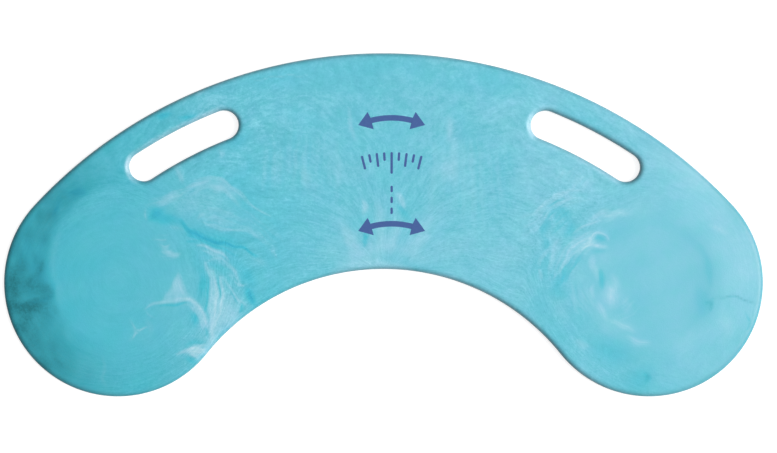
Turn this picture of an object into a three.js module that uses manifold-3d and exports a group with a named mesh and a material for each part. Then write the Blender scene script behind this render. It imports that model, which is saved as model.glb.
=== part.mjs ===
// Curved transfer board: one moulded slab shaped as a crescent, which a seated person slides across.
// It lies flat, +Z up. X runs along its length and +Y points to its long convex edge.
// The origin is at the middle of the box round the board, at the height of the floor under its pads.
// All lengths are millimetres.

import * as THREE from "three";
import { mergeVertices } from "three/addons/utils/BufferGeometryUtils.js";
import Module from "manifold-3d";

// Outline: a long outer arc, a round lobe at each end and one inner arc, every arc tangent to the next.
const boardLength = 700;
const boardDepth = 316.5; // from the foot of the lobes to the top of the outer arc
const lobeRadius = 105;
const bandWidth = 199; // from the outer edge to the inner edge at the middle

// Slab and its rolled rim, a quarter of an ellipse above and one below.
const slabThickness = 10;
const rimWidth = 5;
const rimHeightShare = 0.44; // the most of the edge's thickness that one quarter takes

// Feathered ends: towards the tips the top face falls, and the underside stays flat.
const tipThickness = 6;
const featherWidth = 41; // how far in from the edge the fall begins
const featherBlend = 8; // half the width of the soft bend where it begins
const featherFade = 72; // length of edge over which the fall dies out at each side of a lobe

// Hand slots: each follows the outer edge, with full round ends and rolled rims like the board's.
const slotWidth = 27.5;
const gripWidth = 24; // bar of board between a slot and the outer edge
const slotLength = 113.5; // end to end, along the slot's middle line
const slotReach = 186.7; // from the board's middle line out to the middle of a slot

// Non-slip pads: ribbed rubber discs, each stuck in a round recess under a lobe.
const padRadius = 60;
const padThickness = 2;
const padStandsProud = 1; // how far a pad reaches below the slab's underside
const padClearance = 0.5; // between a pad and its recess, all round
const padRibs = 5;
const padHubRadius = 9;
const padRimWidth = 7;
const padEdgeChamfer = 0.5;
const grooveWidth = 4;
const grooveDepth = 0.8;
const grooveDraft = 0.5; // how much a groove's wall leans
const adhesiveThickness = 0.25;
const adhesiveMargin = 1.5; // the film stops this far inside the pad's edge
const recessChamfer = 0.6;

// How finely the round stretches are drawn.
const outerSteps = 56;
const lobeTipSteps = 8;
const lobeQuarterSteps = 16;
const lobeHeelSteps = 9;
const innerSteps = 32;
const slotSideSteps = 8;
const slotCapSteps = 10;
const rimSteps = 4;
const discSteps = 48;

const overrun = 5; // how far every cutter reaches past what it cuts

// Places that follow from the sizes above.
const up = Math.PI / 2;
const lobeX = boardLength / 2 - lobeRadius;
const lobeY = lobeRadius - boardDepth / 2;
const outerRadius =
  (lobeX ** 2 + boardDepth ** 2 - 2 * boardDepth * lobeRadius) / (2 * (boardDepth - 2 * lobeRadius));
const outerCentreY = boardDepth / 2 - outerRadius;
const outerSpan = Math.atan2(lobeX, lobeY - outerCentreY);
const innerEdgeY = boardDepth / 2 - bandWidth;
const innerEdgeRise = innerEdgeY - lobeY;
const innerRadius = (lobeX ** 2 + innerEdgeRise ** 2 - lobeRadius ** 2) / (2 * (lobeRadius + innerEdgeRise));
const innerCentreY = innerEdgeY - innerRadius;
const innerSpan = Math.atan2(lobeX, lobeY - innerCentreY);
const underside = padStandsProud;
const topFace = underside + slabThickness;
const recessCeiling = padThickness + adhesiveThickness;

// 0 at the start of the fade and 1 at its end, level at both.
function easeOver(length) {
  return THREE.MathUtils.smoothstep(length, 0, featherFade);
}

// The arcs of the edge, counter-clockwise from above. A hollow arc has the board outside its circle.
// Each arc says how much of the feather its edge has: all of it at the tips, none along the inner arc.
// A lobe is cut into arcs at its tip and its foot, so that the board's length and depth come out exact.
function edgeArcs() {
  const outer = {
    x: 0,
    y: outerCentreY,
    radius: outerRadius,
    from: up - outerSpan,
    to: up + outerSpan,
    steps: outerSteps,
    feather: (angle) => 1 - easeOver(outerRadius * (outerSpan - Math.abs(angle - up))),
  };
  const inner = {
    x: 0,
    y: innerCentreY,
    radius: innerRadius,
    from: up + innerSpan,
    to: up - innerSpan,
    steps: innerSteps,
    hollow: true,
    feather: () => 0,
  };
  const heel = 3 * up + innerSpan;
  const leftLobe = (from, to, steps) => ({
    x: -lobeX,
    y: lobeY,
    radius: lobeRadius,
    from,
    to,
    steps,
    feather: (angle) => easeOver(lobeRadius * (heel - angle)),
  });
  const rightLobe = (from, to, steps) => ({
    ...leftLobe(from, to, steps),
    x: lobeX,
    feather: (angle) => easeOver(lobeRadius * (angle + heel - 2 * up)),
  });
  return [
    outer,
    leftLobe(up + outerSpan, 2 * up, lobeTipSteps),
    leftLobe(2 * up, 3 * up, lobeQuarterSteps),
    leftLobe(3 * up, heel, lobeHeelSteps),
    inner,
    rightLobe(2 * up - heel, -up, lobeHeelSteps),
    rightLobe(-up, 0, lobeQuarterSteps),
    rightLobe(0, up - outerSpan, lobeTipSteps),
  ];
}

// Evenly stepped places along a closed chain of arcs, each with its arc and its angle.
function placesAlong(arcs) {
  return arcs.flatMap((arc) =>
    Array.from({ length: arc.steps }, (_, i) => ({
      arc,
      angle: arc.from + ((arc.to - arc.from) * i) / arc.steps,
    })),
  );
}

// A ring of points: every place moved inwards by inset, at the height that heightOf gives there.
function ringOf(places, inset, heightOf) {
  return places.map((place) => {
    const { x, y, radius, hollow } = place.arc;
    const reach = hollow ? radius + inset : radius - inset;
    return new THREE.Vector3(
      x + reach * Math.cos(place.angle),
      y + reach * Math.sin(place.angle),
      heightOf(place),
    );
  });
}

// How far the whole feather has fallen at an inset: flat, then a soft bend, then straight to the edge.
function featherFall(inset) {
  const slope = (slabThickness - tipThickness) / featherWidth;
  const outwards = featherWidth - inset;
  if (outwards >= featherBlend) return slope * outwards;
  if (outwards <= -featherBlend) return 0;
  return (slope * (outwards + featherBlend) ** 2) / (4 * featherBlend);
}

// The steps round a rolled rim, from the upright wall to the level face.
// Each gives how far in it lies, and the share of the rim's height that it still has to climb.
function rimTurns() {
  return Array.from({ length: rimSteps + 1 }, (_, i) => {
    const turn = (up * i) / rimSteps;
    return { inset: rimWidth * (1 - Math.cos(turn)), leftShare: 1 - Math.sin(turn) };
  });
}

// A closed solid through rings of points, lowest first, with flat caps on the first and last ring.
function solidThroughRings(rings) {
  const count = rings[0].length;
  const last = (rings.length - 1) * count;
  const index = [];
  for (let below = 0; below < last; below += count) {
    const above = below + count;
    for (let i = 0; i < count; i++) {
      const next = (i + 1) % count;
      index.push(below + i, below + next, above + next);
      index.push(below + i, above + next, above + i);
    }
  }
  for (const [a, b, c] of THREE.ShapeUtils.triangulateShape(rings[0], [])) {
    index.push(a, c, b);
  }
  for (const [a, b, c] of THREE.ShapeUtils.triangulateShape(rings.at(-1), [])) {
    index.push(last + a, last + b, last + c);
  }
  const positions = rings.flat().flatMap((point) => point.toArray());
  const geometry = new THREE.BufferGeometry();
  geometry.setAttribute("position", new THREE.Float32BufferAttribute(positions, 3));
  geometry.setIndex(index);
  return geometry;
}

// The slab before anything is cut: its rings climb the rolled rim, then cross the feather to the flat top.
function slabGeometry() {
  const places = placesAlong(edgeArcs());
  const topAt = ({ arc, angle }, inset) => topFace - arc.feather(angle) * featherFall(inset);
  const rimHeight = (place) => Math.min(rimWidth, rimHeightShare * (topAt(place, 0) - underside));
  const lowerRim = rimTurns().map(({ inset, leftShare }) =>
    ringOf(places, inset, (place) => underside + rimHeight(place) * leftShare),
  );
  const upperRim = rimTurns().map(({ inset, leftShare }) =>
    ringOf(places, inset, (place) => topAt(place, inset) - rimHeight(place) * leftShare),
  );
  const straightWidth = featherWidth - featherBlend - rimWidth;
  const featherInsets = [
    rimWidth + straightWidth / 3,
    rimWidth + (2 * straightWidth) / 3,
    featherWidth - featherBlend,
    featherWidth - featherBlend / 2,
    featherWidth,
    featherWidth + featherBlend / 2,
    featherWidth + featherBlend,
  ];
  const feather = featherInsets.map((inset) => ringOf(places, inset, (place) => topAt(place, inset)));
  return solidThroughRings([...lowerRim.toReversed(), ...upperRim, ...feather]);
}

// The arcs of a hand slot's wall: two that follow the board's outer edge and a half circle at each end.
function slotArcs(side) {
  const half = slotWidth / 2;
  const pitch = outerRadius - gripWidth - half;
  const halfSpan = (slotLength / 2 - half) / pitch;
  const middle = up - side * Math.asin(slotReach / pitch);
  const start = middle - halfSpan;
  const end = middle + halfSpan;
  const along = { x: 0, y: outerCentreY, steps: slotSideSteps };
  const capAt = (angle) => ({
    x: pitch * Math.cos(angle),
    y: outerCentreY + pitch * Math.sin(angle),
    radius: half,
    steps: slotCapSteps,
  });
  return [
    { ...along, radius: pitch + half, from: start, to: end },
    { ...capAt(end), from: end, to: end + 2 * up },
    { ...along, radius: pitch - half, from: end, to: start, hollow: true },
    { ...capAt(start), from: start + 2 * up, to: start + 4 * up },
  ];
}

// What a hand slot takes away. It flares at both faces, and so leaves a rolled rim there.
function slotCutterGeometry(side) {
  const places = placesAlong(slotArcs(side));
  const rimHeight = Math.min(rimWidth, rimHeightShare * slabThickness);
  const ringAt = (flare, height) => ringOf(places, -flare, () => height);
  const lowerRim = rimTurns().map(({ inset, leftShare }) => ringAt(inset, underside + rimHeight * leftShare));
  const upperRim = rimTurns().map(({ inset, leftShare }) => ringAt(inset, topFace - rimHeight * leftShare));
  return solidThroughRings([
    ringAt(rimWidth, underside - overrun),
    ...lowerRim.toReversed(),
    ...upperRim,
    ringAt(rimWidth, topFace + overrun),
  ]);
}

// A solid of revolution about the Z axis, from a profile of [radius, height] pairs, lowest first.
function turned(profile) {
  const points = profile.map(([radius, height]) => new THREE.Vector2(radius, height));
  return new THREE.LatheGeometry(points, discSteps).rotateX(up);
}

// The round recess that a pad sits in, with a small chamfer at its mouth.
function recessCutterGeometry() {
  const radius = padRadius + padClearance;
  return turned([
    [0, underside - overrun],
    [radius + recessChamfer, underside - overrun],
    [radius + recessChamfer, underside],
    [radius, underside + recessChamfer],
    [radius, recessCeiling],
    [0, recessCeiling],
  ]);
}

// A rubber pad: flat above, where it is stuck, and below it a hub, ribs and a wider rim with grooves between.
function padGeometry() {
  const pitch = (padRadius - padRimWidth - padHubRadius) / padRibs;
  const profile = [[0, 0]];
  for (let i = 0; i < padRibs; i++) {
    const inner = padHubRadius + i * pitch;
    const outer = inner + grooveWidth;
    profile.push([inner, 0]);
    profile.push([inner + grooveDraft, grooveDepth]);
    profile.push([outer - grooveDraft, grooveDepth]);
    profile.push([outer, 0]);
  }
  profile.push([padRadius - padEdgeChamfer, 0]);
  profile.push([padRadius, padEdgeChamfer]);
  profile.push([padRadius, padThickness]);
  profile.push([0, padThickness]);
  return turned(profile);
}

// The film of adhesive between a pad and the ceiling of its recess.
function adhesiveGeometry() {
  const radius = padRadius - adhesiveMargin;
  return turned([
    [0, padThickness],
    [radius, padThickness],
    [radius, recessCeiling],
    [0, recessCeiling],
  ]);
}

const wasm = await Module();
wasm.setup();

// A closed geometry as a solid that can be cut.
function toSolid(geometry) {
  geometry.deleteAttribute("normal");
  geometry.deleteAttribute("uv");
  const merged = mergeVertices(geometry);
  const vertProperties = merged.attributes.position.array;
  const triVerts = new Uint32Array(merged.index.array);
  return new wasm.Manifold(new wasm.Mesh({ numProp: 3, vertProperties, triVerts }));
}

// A cut solid as a geometry that can be drawn.
function toGeometry(solid) {
  const { vertProperties, triVerts } = solid.getMesh();
  const geometry = new THREE.BufferGeometry();
  geometry.setAttribute("position", new THREE.BufferAttribute(vertProperties, 3));
  geometry.setIndex(new THREE.BufferAttribute(triVerts, 1));
  geometry.computeVertexNormals();
  return geometry;
}

// The slab with its two hand slots and its two pad recesses.
function boardGeometry() {
  let board = toSolid(slabGeometry());
  for (const side of [-1, 1]) {
    board = board.subtract(toSolid(slotCutterGeometry(side)));
    board = board.subtract(toSolid(recessCutterGeometry().translate(side * lobeX, lobeY, 0)));
  }
  return toGeometry(board);
}

const marbledPolymer = new THREE.MeshStandardMaterial({ color: 0x6ec2d4, roughness: 0.5, metalness: 0 });
const blackRubber = new THREE.MeshStandardMaterial({ color: 0x2b2d30, roughness: 0.9, metalness: 0 });
const clearAdhesive = new THREE.MeshStandardMaterial({ color: 0xd9d4c4, roughness: 0.6, metalness: 0 });

function namedMesh(name, geometry, material) {
  const mesh = new THREE.Mesh(geometry, material);
  mesh.name = name;
  return mesh;
}

const transferBoard = new THREE.Group();
transferBoard.add(namedMesh("board", boardGeometry(), marbledPolymer));

for (const side of [-1, 1]) {
  const padName = side < 0 ? "left_pad" : "right_pad";
  const padSet = new THREE.Group();
  padSet.position.set(side * lobeX, lobeY, 0);
  padSet.add(namedMesh(padName, padGeometry(), blackRubber.clone()));
  padSet.add(namedMesh(`${padName}_adhesive`, adhesiveGeometry(), clearAdhesive.clone()));
  transferBoard.add(padSet);
}

export default transferBoard;
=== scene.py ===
import math

import bmesh
import bpy
import numpy as np
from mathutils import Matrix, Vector
from mathutils.geometry import delaunay_2d_cdt


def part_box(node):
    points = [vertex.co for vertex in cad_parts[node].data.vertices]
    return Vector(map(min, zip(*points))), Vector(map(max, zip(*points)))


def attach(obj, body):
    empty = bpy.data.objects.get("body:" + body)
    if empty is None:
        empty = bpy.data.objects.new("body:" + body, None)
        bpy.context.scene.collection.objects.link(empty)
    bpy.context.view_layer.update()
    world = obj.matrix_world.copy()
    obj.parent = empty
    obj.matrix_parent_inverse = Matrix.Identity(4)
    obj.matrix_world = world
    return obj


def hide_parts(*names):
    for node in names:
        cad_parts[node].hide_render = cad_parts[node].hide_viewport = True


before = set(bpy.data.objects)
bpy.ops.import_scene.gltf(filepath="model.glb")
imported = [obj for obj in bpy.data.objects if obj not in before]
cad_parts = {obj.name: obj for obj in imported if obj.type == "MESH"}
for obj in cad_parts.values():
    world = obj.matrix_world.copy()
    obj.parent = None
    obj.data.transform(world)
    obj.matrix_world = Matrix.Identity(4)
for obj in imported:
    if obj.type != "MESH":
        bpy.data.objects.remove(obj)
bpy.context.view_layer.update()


# Camera: straight down on the sliding face from three metres above it, +Y at the top of the picture.
# The photograph's width spans a little more than the board's length at the height of its top face.
photo_width = 777
photo_height = 453
view_width = 0.7151
view_centre = (0.0046, -0.0015)
eye_height = 3.0
sensor_width = 0.036

board_low, board_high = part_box("board")
camera_data = bpy.data.cameras.new("camera")
camera_data.sensor_width = sensor_width * 1000
camera_data.lens = sensor_width * 1000 * eye_height / view_width
camera = bpy.data.objects.new("camera", camera_data)
camera.location = (*view_centre, board_high.z + eye_height)
bpy.context.scene.collection.objects.link(camera)
bpy.context.scene.camera = camera


# The board: one compression-moulded slab of marbled polymer, shaped as a crescent of tangent arcs.
# Its rim is rolled above and below, its ends thin out towards the tips, and round recesses underneath
# hold the pads. The hand slots have the photograph's size and places, a little off mirror images.
band_width = 0.199
rim_width = 0.005
rim_height_share = 0.44
tip_thickness = 0.006
feather_width = 0.041
feather_blend = 0.008
feather_fade = 0.072
slot_width = 0.0267
grip_width = 0.0244
slot_length = 0.1103
slot_reach = 0.1867
pad_clearance = 0.0005
recess_chamfer = 0.0006
recess_hub_radius = 0.002
ink_thickness = 0.00005
weld_distance = 0.000002

# For each side, how far its slot is moved to the right along its arc, and away from the bay.
slot_moves = {-1: (0.0016, -0.0006), 1: (0.0004, 0.0)}

# Fineness of the mesh. The busy zones are where the marbling has its finest veins.
rim_steps_above = 7
rim_steps_below = 4
recess_segments = 128
edge_spacing = 0.0021
slot_spacing = 0.0017
top_spacing = 0.00205
busy_spacing = 0.00112
underside_spacing = 0.006
top_gap = 0.0008
underside_gap = 0.002
busy_margin = 0.0012
busy_zones = [((-0.225, -0.128), (-0.095, 0.055)), ((0.135, -0.115), (0.25, 0.025))]

pad_low, pad_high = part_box("right_pad")
recess_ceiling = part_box("right_pad_adhesive")[1].z
half_length = board_high.x
depth = board_high.y - board_low.y
underside = board_low.z
top_face = board_high.z - 1.2 * ink_thickness
slab_thickness = top_face - underside
lobe = np.array([(pad_low.x + pad_high.x) / 2, (pad_low.y + pad_high.y) / 2])
lobe_radius = half_length - lobe[0]
pad_radius = (pad_high.x - pad_low.x) / 2
recess_radius = pad_radius + pad_clearance
recess_mouth = recess_radius + recess_chamfer

outer_radius = (lobe[0] ** 2 + depth**2 - 2 * depth * lobe_radius) / (2 * (depth - 2 * lobe_radius))
outer_centre = np.array([0.0, board_high.y - outer_radius])
outer_span = math.atan2(lobe[0], lobe[1] - outer_centre[1])
inner_rise = board_high.y - band_width - lobe[1]
inner_radius = (lobe[0] ** 2 + inner_rise**2 - lobe_radius**2) / (2 * (lobe_radius + inner_rise))
inner_centre = np.array([0.0, board_high.y - band_width - inner_radius])
inner_span = math.atan2(lobe[0], lobe[1] - inner_centre[1])
heel_angle = math.pi + inner_span

slot_half = slot_width / 2
slot_pitch = outer_radius - grip_width - slot_half
slot_half_span = (slot_length / 2 - slot_half) / slot_pitch
slot_places = {
    side: (side * math.asin(slot_reach / slot_pitch) + along / slot_pitch, slot_pitch + across)
    for side, (along, across) in slot_moves.items()
}


def smooth(t):
    """0 below 0, 1 above 1 and 3t^2 - 2t^3 between."""
    t = np.clip(t, 0, 1)
    return t * t * (3 - 2 * t)


def bell(distance, width):
    """1 at no distance, falling off as exp(-(distance / width)^2)."""
    return np.exp(-((distance / width) ** 2))


def rays_at(angle):
    """Unit vectors at these angles from +Y, clockwise."""
    return np.stack([np.sin(angle), np.cos(angle)], axis=-1)


def circle_rays(count):
    """Unit vectors all round a circle, anticlockwise from +X."""
    turn = np.linspace(0, 2 * math.pi, count, endpoint=False)
    return np.stack([np.cos(turn), np.sin(turn)], axis=1)


def feather_share_outer(angle):
    """Share of the feather along the outer arc: 1 where it meets the lobe, 0 a fade's length away."""
    return 1 - smooth(outer_radius * (outer_span - angle) / feather_fade)


def feather_share_lobe(angle):
    """Share of the feather round a lobe: 0 where it meets the inner arc, 1 a fade's length away."""
    return smooth(lobe_radius * (heel_angle - angle) / feather_fade)


def edge_loop():
    """The outline as points, inward normals and feather shares, clockwise from the top of the outer arc.
    The right half is three arcs by their angle from +Y, and the left half is its mirror image."""
    arcs = [
        (outer_centre, outer_radius, 0.0, outer_span, -1, feather_share_outer),
        (lobe, lobe_radius, outer_span, heel_angle, -1, feather_share_lobe),
        (inner_centre, inner_radius, inner_span, 0.0, 1, lambda angle: 0 * angle),
    ]
    points, normals, shares = [], [], []
    for centre, radius, start, end, inward, share in arcs:
        steps = round(radius * abs(end - start) / edge_spacing)
        angle = np.linspace(start, end, steps, endpoint=False)
        points.append(centre + radius * rays_at(angle))
        normals.append(inward * rays_at(angle))
        shares.append(share(angle))
    points.append(inner_centre + np.array([[0.0, inner_radius]]))
    normals.append(np.array([[0.0, 1.0]]))
    shares.append(np.zeros(1))
    points, normals, shares = map(np.concatenate, (points, normals, shares))
    mirror = np.array([-1.0, 1.0])
    back = slice(-2, 0, -1)
    return (
        np.concatenate([points, points[back] * mirror]),
        np.concatenate([normals, normals[back] * mirror]),
        np.concatenate([shares, shares[back]]),
    )


def edge_distance(spots):
    """How far in from the outline each spot lies, and the feather share of the edge nearest to it.
    Each arc counts only within its own angles, and the nearest arc wins."""
    spots = np.stack([np.abs(spots[:, 0]), spots[:, 1]], axis=1)

    def polar(centre):
        away = spots - centre
        angle = np.mod(np.arctan2(away[:, 0], away[:, 1]), 2 * math.pi)
        return np.hypot(away[:, 0], away[:, 1]), angle

    outer_distance, outer_angle = polar(outer_centre)
    lobe_distance, lobe_angle = polar(lobe)
    inner_distance, inner_angle = polar(inner_centre)
    by_lobe = (lobe_angle >= outer_span) & (lobe_angle <= heel_angle)
    far = 1.0
    insets = np.stack(
        [
            np.where(outer_angle <= outer_span, outer_radius - outer_distance, far),
            np.where(by_lobe, lobe_radius - lobe_distance, far),
            np.where(inner_angle <= inner_span, inner_distance - inner_radius, far),
        ]
    )
    shares = np.stack(
        [feather_share_outer(outer_angle), feather_share_lobe(lobe_angle), np.zeros(len(spots))]
    )
    nearest = insets.argmin(axis=0)
    which = np.arange(len(spots))
    return insets[nearest, which], shares[nearest, which]


def feather_fall(inset):
    """How far the full feather has fallen: level, a parabolic bend, then straight down to the edge."""
    slope = (slab_thickness - tip_thickness) / feather_width
    outwards = feather_width - inset
    bend = slope * (outwards + feather_blend) ** 2 / (4 * feather_blend)
    straight = slope * outwards
    return np.where(outwards >= feather_blend, straight, np.where(outwards <= -feather_blend, 0, bend))


def top_height(inset, share):
    """Height of the top face at an inset, where the edge has that share of the feather."""
    return top_face - share * feather_fall(inset)


def slot_loop(side):
    """A hand slot's wall as points and normals into the board, clockwise: the side towards the outer
    edge, a half circle, the side towards the inner edge and another half circle."""
    middle, pitch = slot_places[side]
    start, end = middle - slot_half_span, middle + slot_half_span
    side_steps = round(pitch * (end - start) / slot_spacing)
    cap_steps = round(math.pi * slot_half / slot_spacing)
    points, normals = [], []
    for reach, first, last in ((slot_half, start, end), (-slot_half, end, start)):
        ray = rays_at(np.linspace(first, last, side_steps, endpoint=False))
        points.append(outer_centre + (pitch + reach) * ray)
        normals.append(np.sign(reach) * ray)
        turn = last + (0 if reach > 0 else math.pi) + np.linspace(0, math.pi, cap_steps, endpoint=False)
        points.append(outer_centre + pitch * rays_at(last) + slot_half * rays_at(turn))
        normals.append(rays_at(turn))
    return np.concatenate(points), np.concatenate(normals)


def slot_distance(spots):
    """Distance of each spot outside the wall of the nearer hand slot, negative within the slot.
    The slot is every spot within half its width of a stretch of the pitch arc."""
    away = spots - outer_centre
    middle, pitch = np.where(spots[:, :1] < 0, slot_places[-1], slot_places[1]).T
    angle = np.arctan2(away[:, 0], away[:, 1])
    nearest = rays_at(np.clip(angle, middle - slot_half_span, middle + slot_half_span))
    return np.hypot(*(away - pitch[:, None] * nearest).T) - slot_half


def rim_profile(steps, edge_height):
    """The rolled rim as insets and shares of its height still to climb, round a quarter ellipse, with
    its height: as high as it is wide, but never more than its share of the edge's thickness."""
    turn = np.linspace(0, math.pi / 2, steps + 1)
    height = np.minimum(rim_width, rim_height_share * edge_height)
    return rim_width * (1 - np.cos(turn)), 1 - np.sin(turn), height


def band(points, normals, insets, heights):
    """A grid of points: every ring is the loop moved along its normals by one inset, at its height."""
    rings = points[None] + insets[:, None, None] * normals[None]
    heights = np.broadcast_to(heights, rings.shape[:2])
    return np.concatenate([rings, heights[..., None]], axis=2)


def band_triangles(rings, flip=False):
    """Two triangles for each cell between neighbouring rings, closed round each ring."""
    count = rings.shape[1]
    first = np.arange(len(rings) - 1)[:, None] * count
    low = (first + np.arange(count)[None]).ravel()
    step = (first + (np.arange(count)[None] + 1) % count).ravel()
    cells = np.stack([low, step, step + count, low, step + count, low + count], axis=1).reshape(-1, 3)
    return cells[:, ::-1] if flip else cells


def rolled_wall(loop, normals, share):
    """Rings up one wall of the slab: its rolled lower rim, then the upper rim under the feathered top."""
    edge_height = top_height(0, share) - underside
    inset, left, height = rim_profile(rim_steps_below, edge_height)
    lower = band(loop, normals, inset[::-1], underside + left[::-1, None] * height)
    inset, left, height = rim_profile(rim_steps_above, edge_height)
    heights = np.stack([top_height(i, share) for i in inset]) - left[:, None] * height
    return np.concatenate([lower, band(loop, normals, inset, heights)])


def hex_spots(low, high, spacing):
    """Spots on a triangular grid that fills a box."""
    row_pitch = spacing * math.sqrt(3) / 2
    rows = int((high[1] - low[1]) / row_pitch) + 1
    columns = int((high[0] - low[0]) / spacing) + 1
    x = low[0] + spacing * (np.arange(columns)[None] + 0.5 * (np.arange(rows)[:, None] % 2))
    y = low[1] + row_pitch * np.arange(rows)[:, None] + 0 * x
    return np.stack([x.ravel(), y.ravel()], axis=1)


def on_top(spots, gap):
    """Whether each spot is inside every rolled rim by more than the gap."""
    return (edge_distance(spots)[0] > rim_width + gap) & (slot_distance(spots) > rim_width + gap)


def on_underside(spots, gap):
    """Whether each spot is inside every rolled rim and outside the pad recesses by more than the gap."""
    away = np.hypot(np.abs(spots[:, 0]) - lobe[0], spots[:, 1] - lobe[1])
    return on_top(spots, gap) & (away > recess_mouth + gap)


def filled_face(loops, spots, belongs, gap):
    """A face between the closed loops, as constrained Delaunay over them and the spots that belong to
    the face by more than the gap. Gives points in the plane, and the triangles that lie on the face."""
    corners = np.concatenate([*loops, spots[belongs(spots, gap)]])
    edges = []
    first = 0
    for loop in loops:
        index = first + np.arange(len(loop))
        edges.append(np.stack([index, np.roll(index, -1)], axis=1))
        first += len(loop)
    links = np.concatenate(edges).tolist()
    found = delaunay_2d_cdt([Vector(c) for c in corners.tolist()], links, [], 0, 1e-7)
    points, triangles = np.array([(v.x, v.y) for v in found[0]]), np.array(found[2])
    return points, triangles[belongs(points[triangles].mean(axis=1), 0)]


def joined(parts):
    """One array of points and one of triangles from parts that have their own."""
    points = [np.reshape(points, (-1, 3)) for points, _ in parts]
    firsts = np.cumsum([0] + [len(p) for p in points[:-1]])
    triangles = [triangles + first for first, (_, triangles) in zip(firsts, parts)]
    return np.concatenate(points), np.concatenate(triangles)


def new_piece(name, points, triangles):
    """A mesh object from whole arrays in metres, welded where points coincide, and its points."""
    mesh = bpy.data.meshes.new(name)
    mesh.from_pydata(points, [], triangles)
    welded = bmesh.new()
    welded.from_mesh(mesh)
    bmesh.ops.remove_doubles(welded, verts=welded.verts, dist=weld_distance)
    welded.to_mesh(mesh)
    welded.free()
    piece = bpy.data.objects.new(name, mesh)
    bpy.context.scene.collection.objects.link(piece)
    points = np.empty(3 * len(mesh.vertices))
    mesh.vertices.foreach_get("co", points)
    return piece, points.reshape(-1, 3)


def recess_parts(side):
    """A round pad recess in the underside: chamfer, wall and ceiling as rings, and the ceiling's middle."""
    centre = lobe * np.array([side, 1.0])
    ray = circle_rays(recess_segments)
    radii = [recess_mouth, recess_radius, recess_radius, 0.5 * recess_radius, recess_hub_radius]
    heights = [underside, underside + recess_chamfer] + 3 * [recess_ceiling]
    rings = band(centre + 0 * ray, ray, np.array(radii), np.array(heights)[:, None])
    hub = np.concatenate([rings[-1], [[*centre, recess_ceiling]]])
    spoke = np.arange(recess_segments)
    middle = np.full(recess_segments, recess_segments)
    cap = np.stack([spoke, middle, (spoke + 1) % recess_segments], axis=1)
    return rings, [(rings, band_triangles(rings, flip=True)), (hub, cap)]


def slab_surface():
    """The whole slab: the outer wall, slot walls, both faces filled between them, and pad recesses."""
    walls = [rolled_wall(*edge_loop())]
    for side in (-1, 1):
        wall, normals = slot_loop(side)
        walls.append(rolled_wall(wall, normals, np.zeros(len(wall))))
    parts = [(walls[0], band_triangles(walls[0], flip=True))]
    parts += [(wall, band_triangles(wall)) for wall in walls[1:]]

    low = np.array([-half_length, board_low.y])
    high = np.array([half_length, board_high.y])
    coarse = hex_spots(low, high, top_spacing)
    for zone_low, zone_high in busy_zones:
        apart = (coarse < np.array(zone_low) - busy_margin) | (coarse > np.array(zone_high) + busy_margin)
        coarse = coarse[apart.any(axis=1)]
    spots = np.concatenate([coarse, *[hex_spots(*zone, busy_spacing) for zone in busy_zones]])
    points, triangles = filled_face([wall[-1][:, :2] for wall in walls], spots, on_top, top_gap)
    parts.append((np.column_stack([points, top_height(*edge_distance(points))]), triangles))

    loops = [wall[0][:, :2] for wall in walls]
    for side in (-1, 1):
        rings, recess = recess_parts(side)
        loops.append(rings[0][:, :2])
        parts += recess
    spots = hex_spots(low, high, underside_spacing)
    points, triangles = filled_face(loops, spots, on_underside, underside_gap)
    parts.append((np.column_stack([points, np.full(len(points), underside)]), triangles[:, ::-1]))
    return joined(parts)


# Marbling. Two tones of polymer are melted together and flow from a gate at the middle of the inner
# edge, so fibres of colour fan out from there and run along both arms. Where the flow folds over
# itself at the lobes it leaves white veils and dark blue veins. Places along them are photo pixels.
pixel = view_width / photo_width


def at_pixels(places):
    """Metres on the board's top face, from pixels of the 777 x 453 photograph."""
    places = np.asarray(places, float)
    x = view_centre[0] + (places[:, 0] - photo_width / 2) * pixel
    y = view_centre[1] - (places[:, 1] - photo_height / 2) * pixel
    return np.stack([x, y], axis=1)


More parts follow.
